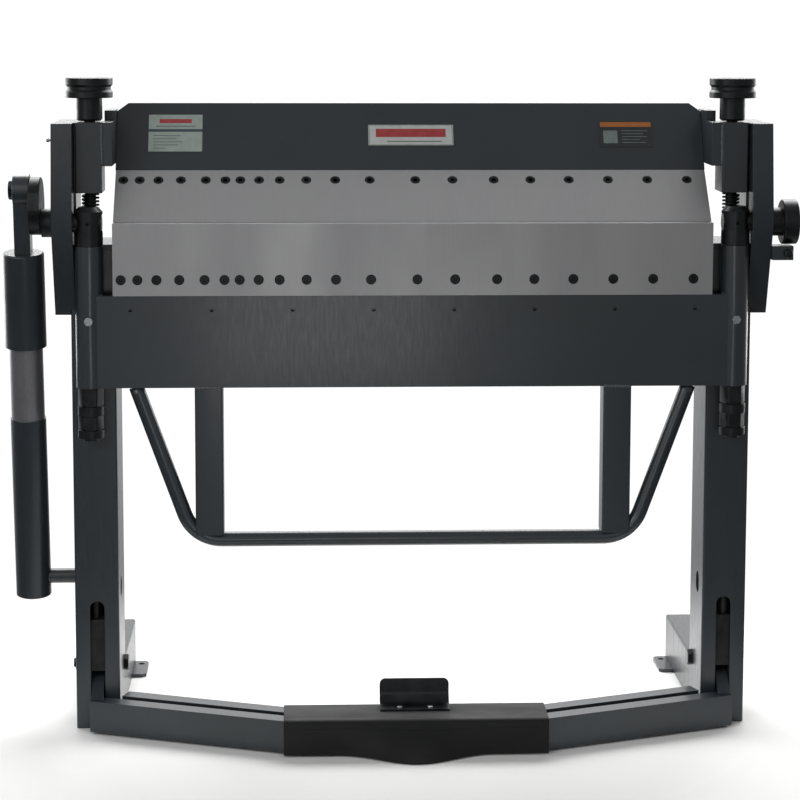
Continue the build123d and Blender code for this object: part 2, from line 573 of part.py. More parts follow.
block_rear = BLOCK_FRONT + BLOCK_DEPTH
end_block = block(BLOCK_IN, BLOCK_OUT, BLOCK_FRONT, block_rear, BLOCK_BOTTOM, BLOCK_TOP)
end_block = chamfer(end_block.edges().filter_by(Axis.Z), 2)
save("end_blocks", both(end_block - bar_z(ROD_R + 0.5, POST_X, ROD_Y, BLOCK_BOTTOM - 1, BLOCK_TOP + 1)))
bracket_rear = back_y + BACK_T
bracket_outline = [(BLOCK_FRONT + 3, BRACKET_BOTTOM), (BLOCK_FRONT + 3, BLOCK_TOP), (block_rear, BLOCK_TOP),
                   (block_rear, BRACKET_TOP), (bracket_rear, BRACKET_TOP), (bracket_rear, BRACKET_BOTTOM)]
save("end_brackets", both(prism(bracket_outline, half_beam, BLOCK_IN)))

clevis_top_z = FLOOR + CLEVIS_TOP
rod_top = KNOB_TOP - 12
save("pull_rods", both(bar_z(ROD_R, POST_X, ROD_Y, clevis_top_z - 40, rod_top)))
cheek_out = LEVER_T / 2 + 1 + CLEVIS_CHEEK
clevis = block(LEG_X - cheek_out, LEG_X + cheek_out, ROD_Y - 20, ROD_Y + 20, CLEVIS_PIN_Z - 20, clevis_top_z)
clevis = fillet(clevis.edges().group_by(Axis.Z)[-1], CLEVIS_ROUND)
clevis -= block(LEG_X - LEVER_T / 2 - 1, LEG_X + LEVER_T / 2 + 1, ROD_Y - 21, ROD_Y + 21,
                CLEVIS_PIN_Z - 21, CLEVIS_PIN_Z + CLEVIS_FORK)
clevis -= bar_z(ROD_R, POST_X, ROD_Y, clevis_top_z - 40, clevis_top_z + 1)
clevis -= bar_x(CLEVIS_PIN_R, LEG_X - 60, LEG_X + 60, ROD_Y, CLEVIS_PIN_Z)
save("rod_clevises", both(clevis))
pin_end = cheek_out + 4
save("clevis_pins", both(bar_x(CLEVIS_PIN_R, LEG_X - pin_end, LEG_X + pin_end, ROD_Y, CLEVIS_PIN_Z)))


def label(x, s, width, height):
    """A thin riveted label on the beam's front plate."""
    sheet = face_plane * Pos(x, s) * RectangleRounded(width, height, 2)
    return extrude(sheet, amount=1.0)


save("spec_plate", label(-509, 88, 116, 89))
save("name_plate", label(0, 83, 185, 50))
save("notice_plate", label(469, 86, 118, 64))

flange = KNOB_SEAT + KNOB_STEM
knob_half = [(0, KNOB_SEAT), (KNOB_STEM_R - 4, KNOB_SEAT), (KNOB_STEM_R, KNOB_SEAT + 4),
             (KNOB_STEM_R, flange), (KNOB_R - 1, flange), (KNOB_R, flange + 1), (KNOB_R, flange + 12),
             (KNOB_GROOVE_R, flange + 17),
             (KNOB_GROOVE_R, flange + 23), (KNOB_R, flange + 28), (KNOB_R, KNOB_TOP - 1.5),
             (KNOB_R - 1.5, KNOB_TOP), (0, KNOB_TOP)]
knob = Pos(POST_X, ROD_Y, 0) * revolve(Plane.XZ * make_face(Polyline(*knob_half, close=True)), axis=Axis.Z)
knob -= bar_z(ROD_R + FIT, POST_X, ROD_Y, KNOB_SEAT - 1, rod_top + 0.5)
save("knob_right", knob)
save("knob_left", mirror(knob, about=Plane.YZ))
lift_spring = Pos(POST_X, ROD_Y, 0) * coil(SPRING_COIL_R, SPRING_WIRE_R, SPRING_PITCH, LEG_TOP, BLOCK_BOTTOM)
save("lift_springs", both(lift_spring))


# ---- Pedal ------------------------------------------------------------------
def bent_bar(shift, end_x):
    """The centre line of one bent pedal bar, shift behind the foremost face."""
    run = hypot(PEDAL_END_X - PEDAL_CORNER_X, PEDAL_END_Y - PEDAL_FRONT)
    rise = (PEDAL_END_Y - PEDAL_FRONT) / (PEDAL_END_X - PEDAL_CORNER_X)
    cosine = (PEDAL_END_X - PEDAL_CORNER_X) / run
    level = PEDAL_FRONT + shift
    corner_x = PEDAL_CORNER_X - shift * (1 / cosine - 1) / rise
    z = PEDAL_LOW + PEDAL_BAR_H / 2
    end = (end_x, level + (end_x - corner_x) * rise, z)
    return Polyline((-end[0], end[1], z), (-corner_x, level, z), (corner_x, level, z), end)


def swept_bar(path, width, height):
    """A rectangular section carried along a bent bar with mitred corners."""
    start = Plane(origin=path @ 0, x_dir=(0, 0, 1), z_dir=path % 0)
    return sweep(start * Rectangle(height, width), path=path, transition=Transition.RIGHT)


wall = 2 * PEDAL_BAR_WALL
front_path = bent_bar(PEDAL_BAR_W / 2, PEDAL_END_X - 7)
front_full = swept_bar(front_path, PEDAL_BAR_W, PEDAL_BAR_H)
save("pedal_front_bar", front_full - swept_bar(front_path, PEDAL_BAR_W - wall, PEDAL_BAR_H - wall))
rear_path = bent_bar(PEDAL_BAR_W * 1.5 + PEDAL_GAP, LEG_INNER - REAR_BAR_SHORT)
rear_full = swept_bar(rear_path, PEDAL_BAR_W, PEDAL_BAR_H)
save("pedal_rear_bar", rear_full - swept_bar(rear_path, PEDAL_BAR_W - wall, PEDAL_BAR_H - wall))

lever_profile = make_hull((Pos(24, PEDAL_LOW + PEDAL_BAR_H / 2) * Rectangle(52, PEDAL_BAR_H)).edges()
                          + (Pos(ROD_Y, CLEVIS_PIN_Z) * Circle(LEVER_EYE_R)).edges()
                          + (Pos(PIVOT_Y, PIVOT_Z) * Circle(LEVER_EYE_R)).edges())
lever = extrude(Plane.YZ.offset(LEG_X - LEVER_T / 2) * lever_profile, amount=LEVER_T)
pin_reach = hypot(LEVER_ARM, BEAM_LIFT / 2)
pin_angle = degrees(atan2(BEAM_LIFT / 2, LEVER_ARM))
slot_length = (pin_reach - LEVER_ARM) + 2 * (CLEVIS_PIN_R + 0.8)
slot_at = (pin_reach + LEVER_ARM) / 2
slot_face = Plane.YZ.offset(LEG_X - LEVER_T) * Pos(PIVOT_Y, PIVOT_Z) * Rot(0, 0, pin_angle) \
    * Pos(-slot_at, 0) * SlotOverall(slot_length, 2 * (CLEVIS_PIN_R + 0.5))
lever -= extrude(slot_face, amount=2 * LEVER_T)
lever -= bar_x(PIVOT_BOLT_R + FIT, LEG_X - 60, LEG_X + 60, PIVOT_Y, PIVOT_Z)
save("pedal_levers", [s - front_full for s in both(lever)])

rear_face = PEDAL_FRONT + 2 * PEDAL_BAR_W + PEDAL_GAP
tread_top = PEDAL_TOP + TREAD_T
tread = block(-TREAD_LENGTH / 2, TREAD_LENGTH / 2, TREAD_FRONT, rear_face + 8, PEDAL_LOW - 1, tread_top)
tread = fillet(tread.edges().filter_by(Axis.X).group_by(Axis.Z)[-1].sort_by(Axis.Y)[0], 12)
tread -= block(-TREAD_LENGTH, TREAD_LENGTH, PEDAL_FRONT - 0.3, rear_face + 0.3, PEDAL_LOW - 2,
               PEDAL_TOP + 0.2)
tread -= rear_full
half_bulge = BULGE_WIDTH / 2
bulge_front = TREAD_FRONT - BULGE_DEPTH
bulge_arc = ThreePointArc((-half_bulge, TREAD_FRONT), (0, bulge_front), (half_bulge, TREAD_FRONT))
bulge_plan = make_face([bulge_arc, Line(bulge_arc @ 1, bulge_arc @ 0)])
bulge_low = PEDAL_LOW - 1
bulge = Pos(0, 0, bulge_low) * extrude(bulge_plan, amount=BULGE_HEIGHT)
bulge &= prism([(TREAD_FRONT + 1, bulge_low), (bulge_front - 4, bulge_low), (bulge_front, bulge_low + 8),
                (TREAD_FRONT, bulge_low + BULGE_HEIGHT),
                (TREAD_FRONT + 1, bulge_low + BULGE_HEIGHT)], -half_bulge, half_bulge)

# The toe plate: a foot flange, a bend and an upright, cut round at its top corners
toe_y = rear_face + 4
toe_low = tread_top + TOE_T / 2
bend_y = toe_y - TOE_BEND
toe_line = [Line((bend_y - 24, toe_low), (bend_y, toe_low)),
            RadiusArc((bend_y, toe_low), (toe_y, toe_low + TOE_BEND), -TOE_BEND),
            Line((toe_y, toe_low + TOE_BEND), (toe_y, tread_top + TOE_HEIGHT))]
toe = extrude(Plane.YZ.offset(-TOE_WIDTH / 2) * trace(toe_line, line_width=TOE_T), amount=TOE_WIDTH)
toe_view = Plane.XZ.offset(-toe_y - 80) * Pos(0, tread_top + TOE_HEIGHT / 2 - 20) \
    * RectangleRounded(TOE_WIDTH, TOE_HEIGHT + 40, 12)
toe &= extrude(toe_view, amount=200)
toe_screws = []
for x in (-32, 32):
    hole = bar_z(3, x, bend_y - 10, PEDAL_TOP - 20, tread_top + 20)
    toe -= hole
    tread -= hole
    head = bar_z(6, x, bend_y - 10, tread_top + TOE_T, tread_top + TOE_T + 3)
    head = fillet(head.edges().group_by(Axis.Z)[-1], 1.5)
    toe_screws.append(head + bar_z(3, x, bend_y - 10, PEDAL_TOP + 0.3, tread_top + TOE_T))
save("pedal_tread", tread + bulge)
save("toe_plate", toe)
save("toe_plate_screws", toe_screws)


# ---- Counterbalance strut, built upright and then leaned into place ----------
def upright(r, z0, z1):
    """A round bar on the strut's own axis."""
    return bar_z(r, 0, 0, z0, z1)


cross_bore = bar_x(STRUT_BAR_R + FIT, -INNER_R + 6 - FIT, 80, 0, 0)
inner = upright(INNER_R, -FOOT_BELOW + 5, INNER_TOP) - upright(INNER_BORE_R, 40, INNER_TOP - 12)
inner -= upright(PISTON_ROD_R + FIT, INNER_TOP - 20, INNER_TOP + 1)
save("strut_inner_tube", STRUT * (inner - cross_bore))
cover = upright(COVER_R, -FOOT_BELOW, COVER_TOP) - upright(INNER_R + FIT, -FOOT_BELOW + 5, COVER_TOP + 1)
save("strut_lower_cover", STRUT * (cover - bar_x(STRUT_BAR_R + 1, 0, 80, 0, 0)))
sleeve = upright(SLEEVE_R, SLEEVE_BOTTOM, SLEEVE_TOP)
sleeve = chamfer(sleeve.edges().group_by(Axis.Z)[-1], 3)
sleeve -= upright(INNER_R + FIT, SLEEVE_BOTTOM - 1, SLEEVE_TOP - SLEEVE_CAP)
save("strut_sleeve", STRUT * sleeve)
bar_inner = -CRANK_END - PLAY - STRUT_X
end_bar = block(bar_inner - END_BAR_T, bar_inner, -END_BAR_W / 2, END_BAR_W / 2, SLEEVE_TOP, STRUT_LENGTH)
end_bar += bar_x(END_EYE_R, bar_inner - END_BAR_T, bar_inner, 0, STRUT_LENGTH)
end_bar -= bar_x(11, bar_inner - END_BAR_T - 1, bar_inner + 1, 0, STRUT_LENGTH)
save("strut_rod_end", STRUT * end_bar)
pin = bar_x(11, bar_inner - END_BAR_T, bar_inner, 0, STRUT_LENGTH)
pin_head = Pos(bar_inner - END_BAR_T, 0, STRUT_LENGTH) * Rot(0, -90, 0) * hexagon(36, 0, 10)
save("strut_pin_bolt", STRUT * (pin + pin_head))
piston = upright(PISTON_ROD_R, PISTON_AT, SLEEVE_TOP - SLEEVE_CAP)
piston += upright(PISTON_R, PISTON_AT, PISTON_AT + 20)
save("strut_piston", STRUT * piston)
save("strut_spring", STRUT * coil(22, 4, 24, PISTON_AT + 20, INNER_TOP - 12))
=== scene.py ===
"""Foot-operated box-and-pan folding brake: finishes, welds, labels and pedal tread.

Shapes are parametric surfaces worked out with numpy around the fixed frame, in
metres.  Machined and painted parts keep the frame's shape and get broken edges.
"""

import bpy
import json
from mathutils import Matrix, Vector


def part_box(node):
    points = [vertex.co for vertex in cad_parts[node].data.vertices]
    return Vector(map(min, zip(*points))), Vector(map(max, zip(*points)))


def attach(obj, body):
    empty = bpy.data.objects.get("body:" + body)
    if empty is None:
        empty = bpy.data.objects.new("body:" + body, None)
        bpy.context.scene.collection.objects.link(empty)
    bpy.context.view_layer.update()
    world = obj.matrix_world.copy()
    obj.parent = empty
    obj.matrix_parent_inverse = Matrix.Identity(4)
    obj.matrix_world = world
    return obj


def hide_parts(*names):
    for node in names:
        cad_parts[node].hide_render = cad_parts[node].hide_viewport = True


bl_info = {
    "name": "Folding Brake",
    "version": (1, 0, 0),
    "blender": (4, 5, 0),
    "location": "3D View > Sidebar > Brake",
    "description": "Builds the visible finish of a sheet metal folding brake",
    "category": "Object",
}

import json
from math import cos, pi, radians, sin, tan

import bmesh
import bpy
import numpy as np
from mathutils import Matrix, Vector

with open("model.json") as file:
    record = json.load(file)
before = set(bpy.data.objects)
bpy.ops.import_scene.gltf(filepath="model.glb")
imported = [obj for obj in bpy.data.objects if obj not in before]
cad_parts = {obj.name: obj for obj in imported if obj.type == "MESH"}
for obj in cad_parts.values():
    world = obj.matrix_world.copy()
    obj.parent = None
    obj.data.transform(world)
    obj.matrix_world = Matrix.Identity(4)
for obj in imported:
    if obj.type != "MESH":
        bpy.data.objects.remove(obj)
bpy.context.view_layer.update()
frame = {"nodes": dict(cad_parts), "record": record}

MM = 0.001
SLOT_OF = {row["node"]: row["material_slot"] for row in frame["record"]["subparts"]}
BODY_OF = {node: body for body, nodes in frame["record"]["behaviour"]["bodies"].items() for node in nodes}
HIDDEN_INSIDE = ("pivot_bushes", "strut_piston", "strut_spring", "clevis_pins", "leaf_studs")
PANEL_LOW, PANEL_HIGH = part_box("leaf_panel")
MIDDLE_X = (PANEL_LOW.x + PANEL_HIGH.x) / 2
PANEL_FACE_Y = PANEL_LOW.y
POST_WIDE = 60 * MM
BLOCK_WIDE = 56 * MM
STRUT_WIDE = 60 * MM
# Ground segments stand 0.25 mm apart in the frame; each moves out almost half of that on both sides.
SEAM_CLOSING = 0.12 * MM
BROAD_FACE = 100 * MM * MM
SMALL_EDGE = 0.3 * MM
UNBEVELLED = ("spring", "leaf_segments", "fingers")
SMALL_PARTS = ("screws", "nipple", "notice_plate", "spec_plate", "name_plate")
# The tread's front stands this far ahead of the front bar, and its bulge is this wide on each side.
RUBBER_AHEAD = 15 * MM
BULGE_HALF = 163 * MM
TREAD_WALL = 4.5 * MM
LABEL_LEAN = radians(30)
# The room's strength behind, in front and below the machine.
ROOM_BEHIND, ROOM_FRONT, ROOM_BELOW = 1.06, 0.36, 0.22
# Where the camera stands from the machine's middle, and its yaw, pitch and roll in radians.
CAMERA_PLACE = (-0.2391, -5.198, 1.5622)
CAMERA_TURN = (0.04163, 0.12247, 0.00193)


# ---- Sizes and colours a user would change ---------------------------------
class BrakeFinishes(bpy.types.PropertyGroup):
    """Colours of the finishes, as sRGB hex text."""

    paint: bpy.props.StringProperty(
        name="Powder coat", description="Charcoal of the frame, leaf and beam", default="#232A2E")
    steel: bpy.props.StringProperty(
        name="Ground steel", description="Fingers, leaf bar and bed", default="#A7A7A8")
    oxide: bpy.props.StringProperty(
        name="Black oxide", description="Knobs, knuckles, screws and nuts", default="#141617")
    rubber: bpy.props.StringProperty(
        name="Rubber", description="Moulded pedal tread", default="#0B0C0C")


class BrakeSizes(bpy.types.PropertyGroup):
    """Sizes of the finishing work."""

    edge: bpy.props.FloatProperty(
        name="Broken edge", description="Width of the bevel on machined edges",
        default=0.8 * MM, unit="LENGTH")
    weld: bpy.props.FloatProperty(
        name="Weld bead", description="Radius of a fillet weld", default=3.2 * MM, unit="LENGTH")
    ripple: bpy.props.FloatProperty(
        name="Weld ripple", description="Distance between ripples of a weld", default=3.5 * MM, unit="LENGTH")
    handle_bend: bpy.props.FloatProperty(
        name="Handle bend", description="Centre-line radius of the handle's corners",
        default=85 * MM, unit="LENGTH")
    handle_top: bpy.props.FloatProperty(
        name="Handle top", description="Half width of the handle at the panel",
        default=589 * MM, unit="LENGTH")
    handle_low: bpy.props.FloatProperty(
        name="Handle corner", description="Half width between the handle's lower corners",
        default=469 * MM, unit="LENGTH")
    tread_groove: bpy.props.FloatProperty(
        name="Tread groove", description="Depth of the groove along the tread's front",
        default=0.8 * MM, unit="LENGTH")


class BrakeStage(bpy.types.PropertyGroup):
    """Light of the studio."""

    key: bpy.props.FloatProperty(
        name="Key light", description="Front softbox", default=48, subtype="POWER")
    top: bpy.props.FloatProperty(
        name="Top light", description="Overhead softbox", default=130, subtype="POWER")
    rim: bpy.props.FloatProperty(
        name="Rim light", description="Each rear side panel", default=40, subtype="POWER")
    low: bpy.props.FloatProperty(
        name="Low light", description="Low front panel", default=4.5, subtype="POWER")


# ---- Node helpers ----------------------------------------------------------
def linear(hex_text):
    """An sRGB hex colour as linear RGBA."""
    parts = [int(hex_text[i:i + 2], 16) / 255 for i in (1, 3, 5)]
    return [c / 12.92 if c <= 0.04045 else ((c + 0.055) / 1.055) ** 2.4 for c in parts] + [1.0]


def add(tree, kind, inputs, **settings):
    """Add a node with its settings, and set or link its inputs."""
    node = tree.nodes.new(kind)
    for name, value in settings.items():
        setattr(node, name, value)
    for name, value in inputs.items():
        if isinstance(value, bpy.types.NodeSocket):
            tree.links.new(value, node.inputs[name])
        else:
            node.inputs[name].default_value = value
    return node


def begin(name):
    """A new node material, its tree and its object coordinates."""
    material = bpy.data.materials.new(name)
    material.use_nodes = True
    tree = material.node_tree
    tree.nodes.clear()
    place = add(tree, "ShaderNodeTexCoord", {}).outputs["Object"]
    return material, tree, place


def close(tree, inputs):
    """The principled shader and the output."""
    shader = add(tree, "ShaderNodeBsdfPrincipled", inputs)
    add(tree, "ShaderNodeOutputMaterial", {"Surface": shader.outputs["BSDF"]})


def noise(tree, place, size_mm, detail=3.0, stretch=(1, 1, 1)):
    """Noise whose cells are size_mm across, longer along an axis by its stretch."""
    scale = [1 / (size_mm * MM * s) for s in stretch]
    moved = add(tree, "ShaderNodeMapping", {"Vector": place, "Scale": scale})
    made = add(tree, "ShaderNodeTexNoise", {"Vector": moved.outputs[0], "Scale": 1.0, "Detail": detail})
    return made.outputs["Fac"]


def spread(tree, value, low, high, start=0.3, end=0.7):
    """A value between start and end, spread between low and high."""
    inputs = {"Value": value, "From Min": start, "From Max": end, "To Min": low, "To Max": high}
    return add(tree, "ShaderNodeMapRange", inputs).outputs["Result"]


def blend_colours(tree, factor, first, second):
    """A mix of two colours, each a hex text or a socket."""
    colours = [linear(c) if isinstance(c, str) else c for c in (first, second)]
    mixed = add(tree, "ShaderNodeMix", {0: factor, 6: colours[0], 7: colours[1]}, data_type="RGBA")
    return mixed.outputs[2]


def bump(tree, height, strength, depth_mm):
    """A bump of the given depth in millimetres."""
    made = add(tree, "ShaderNodeBump", {"Height": height, "Strength": strength, "Distance": depth_mm * MM})
    return made.outputs["Normal"]


# ---- Materials --------------------------------------------------------------
def powder_coat():
    """Baked semi-gloss polyester powder: fine orange peel, a few chips and dusty patches."""
    tone = bpy.context.scene.brake_finishes.paint
    material, tree, place = begin("powder_coat_charcoal")
    patches = spread(tree, noise(tree, place, 260, 4), 0, 1)
    colour = blend_colours(tree, patches, tone, "#2A3137")
    chips = spread(tree, noise(tree, place, 7, 6), 0, 0.4, 0.72, 0.76)
    colour = blend_colours(tree, chips, colour, "#4A5053")
    scuffs = noise(tree, place, 5, 5, (1, 1, 8))
    rough = spread(tree, scuffs, 0.28, 0.42)
    # Orange peel is about 1.5 mm across, drawn at 2.5 mm so that it shows.
    peel = noise(tree, place, 2.5, 2)
    close(tree, {"Base Color": colour, "Roughness": rough, "IOR": 1.5, "Coat Weight": 0.3,
                 "Coat Roughness": 0.16, "Normal": bump(tree, peel, 0.3, 0.10)})
    return material


def ground_steel():
    """Surface-ground tool steel: fine cross marks from the wheel and a thin oil film."""
    tone = bpy.context.scene.brake_finishes.steel
    material, tree, place = begin("ground_tool_steel")
    # Wheel marks are about 0.3 mm apart, drawn 1.2 mm apart so that they show.
    marks = noise(tree, place, 1.2, 3, (1, 60, 60))
    film = noise(tree, place, 180, 4, (1, 3, 3))
    colour = blend_colours(tree, spread(tree, film, 0, 1), tone, "#9B9B9D")
    colour = blend_colours(tree, spread(tree, marks, 0, 0.10), colour, "#7F8282")
    specks = spread(tree, noise(tree, place, 4, 5), 0, 0.25, 0.72, 0.78)
    colour = blend_colours(tree, specks, colour, "#6C6B67")
    rough = spread(tree, film, 0.36, 0.48)
    close(tree, {"Base Color": colour, "Metallic": 0.75, "Roughness": rough,
                 "Normal": bump(tree, marks, 0.12, 0.02)})
    return material


def black_oxide():
    """Oiled black oxide on turned steel: near black, faint turning lines, a satin sheen."""
    tone = bpy.context.scene.brake_finishes.oxide
    material, tree, place = begin("black_oxide_steel")
    patches = spread(tree, noise(tree, place, 30, 4), 0, 1)
    colour = blend_colours(tree, patches, tone, "#26292B")
    # Turning lines are 0.4 mm apart, drawn 1 mm apart.
    lines = noise(tree, place, 1.0, 2, (40, 40, 1))
    rough = spread(tree, patches, 0.30, 0.45, 0, 1)
    close(tree, {"Base Color": colour, "Metallic": 0.55, "Roughness": rough,
                 "Normal": bump(tree, lines, 0.25, 0.06)})
    return material


def zinc_plate():
    """Bright zinc plating on small screws, with a cloudy film."""
    material, tree, place = begin("zinc_plated_steel")
    cloud = noise(tree, place, 6, 4)
    colour = blend_colours(tree, spread(tree, cloud, 0, 1), "#B9BDBF", "#979B9E")
    rough = spread(tree, cloud, 0.25, 0.42)
    close(tree, {"Base Color": colour, "Metallic": 1.0, "Roughness": rough,
                 "Normal": bump(tree, cloud, 0.2, 0.08)})
    return material


def bare_tube():
    """Drawn seamless tube, bare and lightly oiled: long streaks along the draw."""
    material, tree, place = begin("drawn_steel_tube")
    streaks = noise(tree, place, 2.2, 4, (1, 1, 60))
    stain = noise(tree, place, 40, 4, (1, 1, 2))
    colour = blend_colours(tree, spread(tree, streaks, 0, 0.5), "#94949A", "#7A7A80")
    colour = blend_colours(tree, spread(tree, stain, 0, 0.2), colour, "#66645F")
    rough = spread(tree, streaks, 0.30, 0.42)
    close(tree, {"Base Color": colour, "Metallic": 0.7, "Roughness": rough,
                 "Normal": bump(tree, streaks, 0.12, 0.04)})
    return material


def bronze():
    """Turned bearing bronze, warm and slightly dulled."""
    material, tree, place = begin("bearing_bronze")
    cloud = noise(tree, place, 12, 4)
    colour = blend_colours(tree, spread(tree, cloud, 0, 1), "#9C7A45", "#6E5532")
    close(tree, {"Base Color": colour, "Metallic": 1.0, "Roughness": spread(tree, cloud, 0.3, 0.5),
                 "Normal": bump(tree, cloud, 0.2, 0.05)})
    return material


def moulded_rubber():
    """Moulded nitrile rubber: matt black with a fine grain and dusty, trodden patches."""
    tone = bpy.context.scene.brake_finishes.rubber
    material, tree, place = begin("moulded_rubber")
    dust = noise(tree, place, 70, 5, (2, 1, 1))
    grain = noise(tree, place, 1.4, 3)
    colour = blend_colours(tree, spread(tree, dust, 0, 0.5), tone, "#121314")
    rough = spread(tree, dust, 0.58, 0.78)
    close(tree, {"Base Color": colour, "Roughness": rough, "IOR": 1.38,
                 "Normal": bump(tree, grain, 0.3, 0.12)})
    return material


def weld_metal():
    """A painted fillet weld, glossier where the powder pools in its ripples."""
    material, tree, place = begin("painted_weld")
    spatter = noise(tree, place, 3, 4)
    colour = blend_colours(tree, spread(tree, spatter, 0, 1), "#34393C", "#565C60")
    close(tree, {"Base Color": colour, "Roughness": spread(tree, spatter, 0.25, 0.4), "Coat Weight": 0.3,
                 "Normal": bump(tree, spatter, 0.4, 0.2)})
    return material


def printed(name, tone, fade, metallic):
    """A printed film: one ink with slight mottling and hairline scratches."""
    material, tree, place = begin(name)
    mottle = noise(tree, place, 14, 4)
    hairs = noise(tree, place, 1.5, 3, (14, 1, 1))
    colour = blend_colours(tree, spread(tree, mottle, 0, 1), tone, fade)
    close(tree, {"Base Color": colour, "Metallic": metallic, "Roughness": spread(tree, hairs, 0.32, 0.46),
                 "Normal": bump(tree, hairs, 0.15, 0.03)})
    return material


def label_foil():
    """Anodised aluminium label foil, pale silver green."""
    return printed("anodised_label_foil", "#A5B1AB", "#97A39D", 0.2)


def label_vinyl():
    """Black printed vinyl."""
    return printed("printed_vinyl_black", "#23272A", "#2C3134", 0.0)


def studio_floor():
    """Pale seamless paper, barely mottled."""
    material, tree, place = begin("seamless_paper")
    colour = blend_colours(tree, spread(tree, noise(tree, place, 900, 3), 0, 1), "#FAFAF9", "#F5F5F4")
    reach = add(tree, "ShaderNodeVectorMath", {0: place}, operation="LENGTH").outputs["Value"]
    # The paper thins out into the white room from 0.8 m to 1.3 m from the machine's middle.
    cover = spread(tree, reach, 1, 0, 0.8, 1.3)
    close(tree, {"Base Color": colour, "Roughness": 0.85, "Alpha": cover,
                 "Normal": bump(tree, noise(tree, place, 4, 3), 0.1, 0.2)})
    return material


MAKERS = {
    "charcoal_paint": powder_coat, "ground_steel": ground_steel, "black_oxide": black_oxide,
    "zinc_plate": zinc_plate, "bare_tube": bare_tube, "bronze": bronze, "black_rubber": moulded_rubber,
    "label_foil": label_foil, "label_orange": label_vinyl,
}
made_materials = {}


def finish(maker):
    """The material that a maker gives, made once."""
    if maker not in made_materials:
        made_materials[maker] = maker()
    return made_materials[maker]


def slot_finish(slot):
    """The material of one of the record's slots."""
    return finish(MAKERS[slot])


# ---- Mesh helpers -----------------------------------------------------------
def mesh_object(name, points, faces, smooth=True):
    """An object from an array of points and an array of faces."""
    mesh = bpy.data.meshes.new(name)
    mesh.from_pydata(np.asarray(points, float).reshape(-1, 3).tolist(), [], [list(f) for f in faces])
    mesh.polygons.foreach_set("use_smooth", [smooth] * len(mesh.polygons))
    mesh.update()
    made = bpy.data.objects.new(name, mesh)
    bpy.context.scene.collection.objects.link(made)
    return made


def grid_faces(rows, columns, wrap):
    """Quads of a grid of points, numbered row by row; the columns may wrap round."""
    last = columns if wrap else columns - 1
    i, j = np.meshgrid(np.arange(rows - 1), np.arange(last), indexing="ij")
    k = (j + 1) % columns
    quads = np.stack([i * columns + j, i * columns + k, (i + 1) * columns + k, (i + 1) * columns + j], -1)
    return quads.reshape(-1, 4)


def face_out(made):
    """Turn a closed mesh's faces outwards."""
    work = bmesh.new()
    work.from_mesh(made.data)
    bmesh.ops.remove_doubles(work, verts=work.verts, dist=1e-6)
    bmesh.ops.recalc_face_normals(work, faces=work.faces)
    work.to_mesh(made.data)
    work.free()


def tube_surface(name, centres, radii, sides=24, up=(0, 1, 0)):
    """Circles of the given radii round a line of centres, in the plane across it.

    Point (i, t) = centre i + radius i * (cos t * across i + sin t * up), where up
    stays fixed and across is the unit vector square to up and to the line.
    """
    centres = np.asarray(centres, float)
    radii = np.broadcast_to(np.asarray(radii, float), (len(centres),))
    up = np.asarray(up, float)
    along = np.gradient(centres, axis=0)
    across = np.cross(up, along)
    across /= np.linalg.norm(across, axis=1)[:, None]
    turn = np.linspace(0, 2 * pi, sides, endpoint=False)
    ring = np.cos(turn)[None, :, None] * across[:, None] + np.sin(turn)[None, :, None] * up
    points = centres[:, None] + radii[:, None, None] * ring
    faces = grid_faces(len(centres), sides, True).tolist()
    faces.append(list(range(sides))[::-1])
    faces.append([(len(centres) - 1) * sides + k for k in range(sides)])
    made = mesh_object(name, points, faces)
    face_out(made)
    return made


def dress(piece, body, material):
    """Ride a new piece on its body with its material."""
    piece.data.materials.clear()
    piece.data.materials.append(material)
    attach(piece, body)


def refine(node, edge, closing=0.0):
    """Stand a merged copy with broken edges in for a frame node of loose triangles.

    Broad faces across X move outwards by the closing distance, which shuts the
    hairline seams between ground segments standing side by side.
    """
    source = frame["nodes"][node]
    mesh = source.data.copy()
    work = bmesh.new()
    work.from_mesh(mesh)
    bmesh.ops.remove_doubles(work, verts=work.verts, dist=2e-6)
    bmesh.ops.dissolve_limit(work, angle_limit=radians(0.6), verts=work.verts, edges=work.edges)
    for face in work.faces:
        face.smooth = True
        if closing and abs(face.normal.x) > 0.999 and face.calc_area() > BROAD_FACE:
            shift = closing if face.normal.x > 0 else -closing
            bmesh.ops.translate(work, verts=face.verts[:], vec=(shift, 0, 0))
    for line in work.edges:
        line.smooth = not (len(line.link_faces) == 2 and line.calc_face_angle(0) > radians(30))
    work.to_mesh(mesh)
    work.free()
    piece = bpy.data.objects.new(node + "_finished", mesh)
    bpy.context.scene.collection.objects.link(piece)
    if edge:
        bevel = piece.modifiers.new("broken_edges", "BEVEL")
        bevel.width = edge
        bevel.segments = 2
        bevel.limit_method = "ANGLE"
        bevel.angle_limit = radians(40)
        bevel.harden_normals = True
    dress(piece, BODY_OF[node], slot_finish(SLOT_OF[node]))
    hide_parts(node)


def refine_body(body, skip=()):
    """Finish all the nodes of a body except those that another piece replaces."""
    for node, owner in BODY_OF.items():
        if owner != body or node in skip:
            continue
        if node in HIDDEN_INSIDE:
            frame["nodes"][node].data.materials.clear()
            frame["nodes"][node].data.materials.append(slot_finish(SLOT_OF[node]))
            continue
        if any(part in node for part in UNBEVELLED):
            width = 0
        elif any(part in node for part in SMALL_PARTS):
            width = SMALL_EDGE
        else:
            width = bpy.context.scene.brake_sizes.edge
        refine(node, width, SEAM_CLOSING if node in ("leaf_segments", "fingers") else 0.0)


# ---- Operators --------------------------------------------------------------
class BRAKE_OT_frame(bpy.types.Operator):
    """Legs, side plates, bed, rails and their fittings"""

    bl_idname = "brake.frame"
    bl_label = "Frame"

    def execute(self, context):
        refine_body("frame")
        return {"FINISHED"}


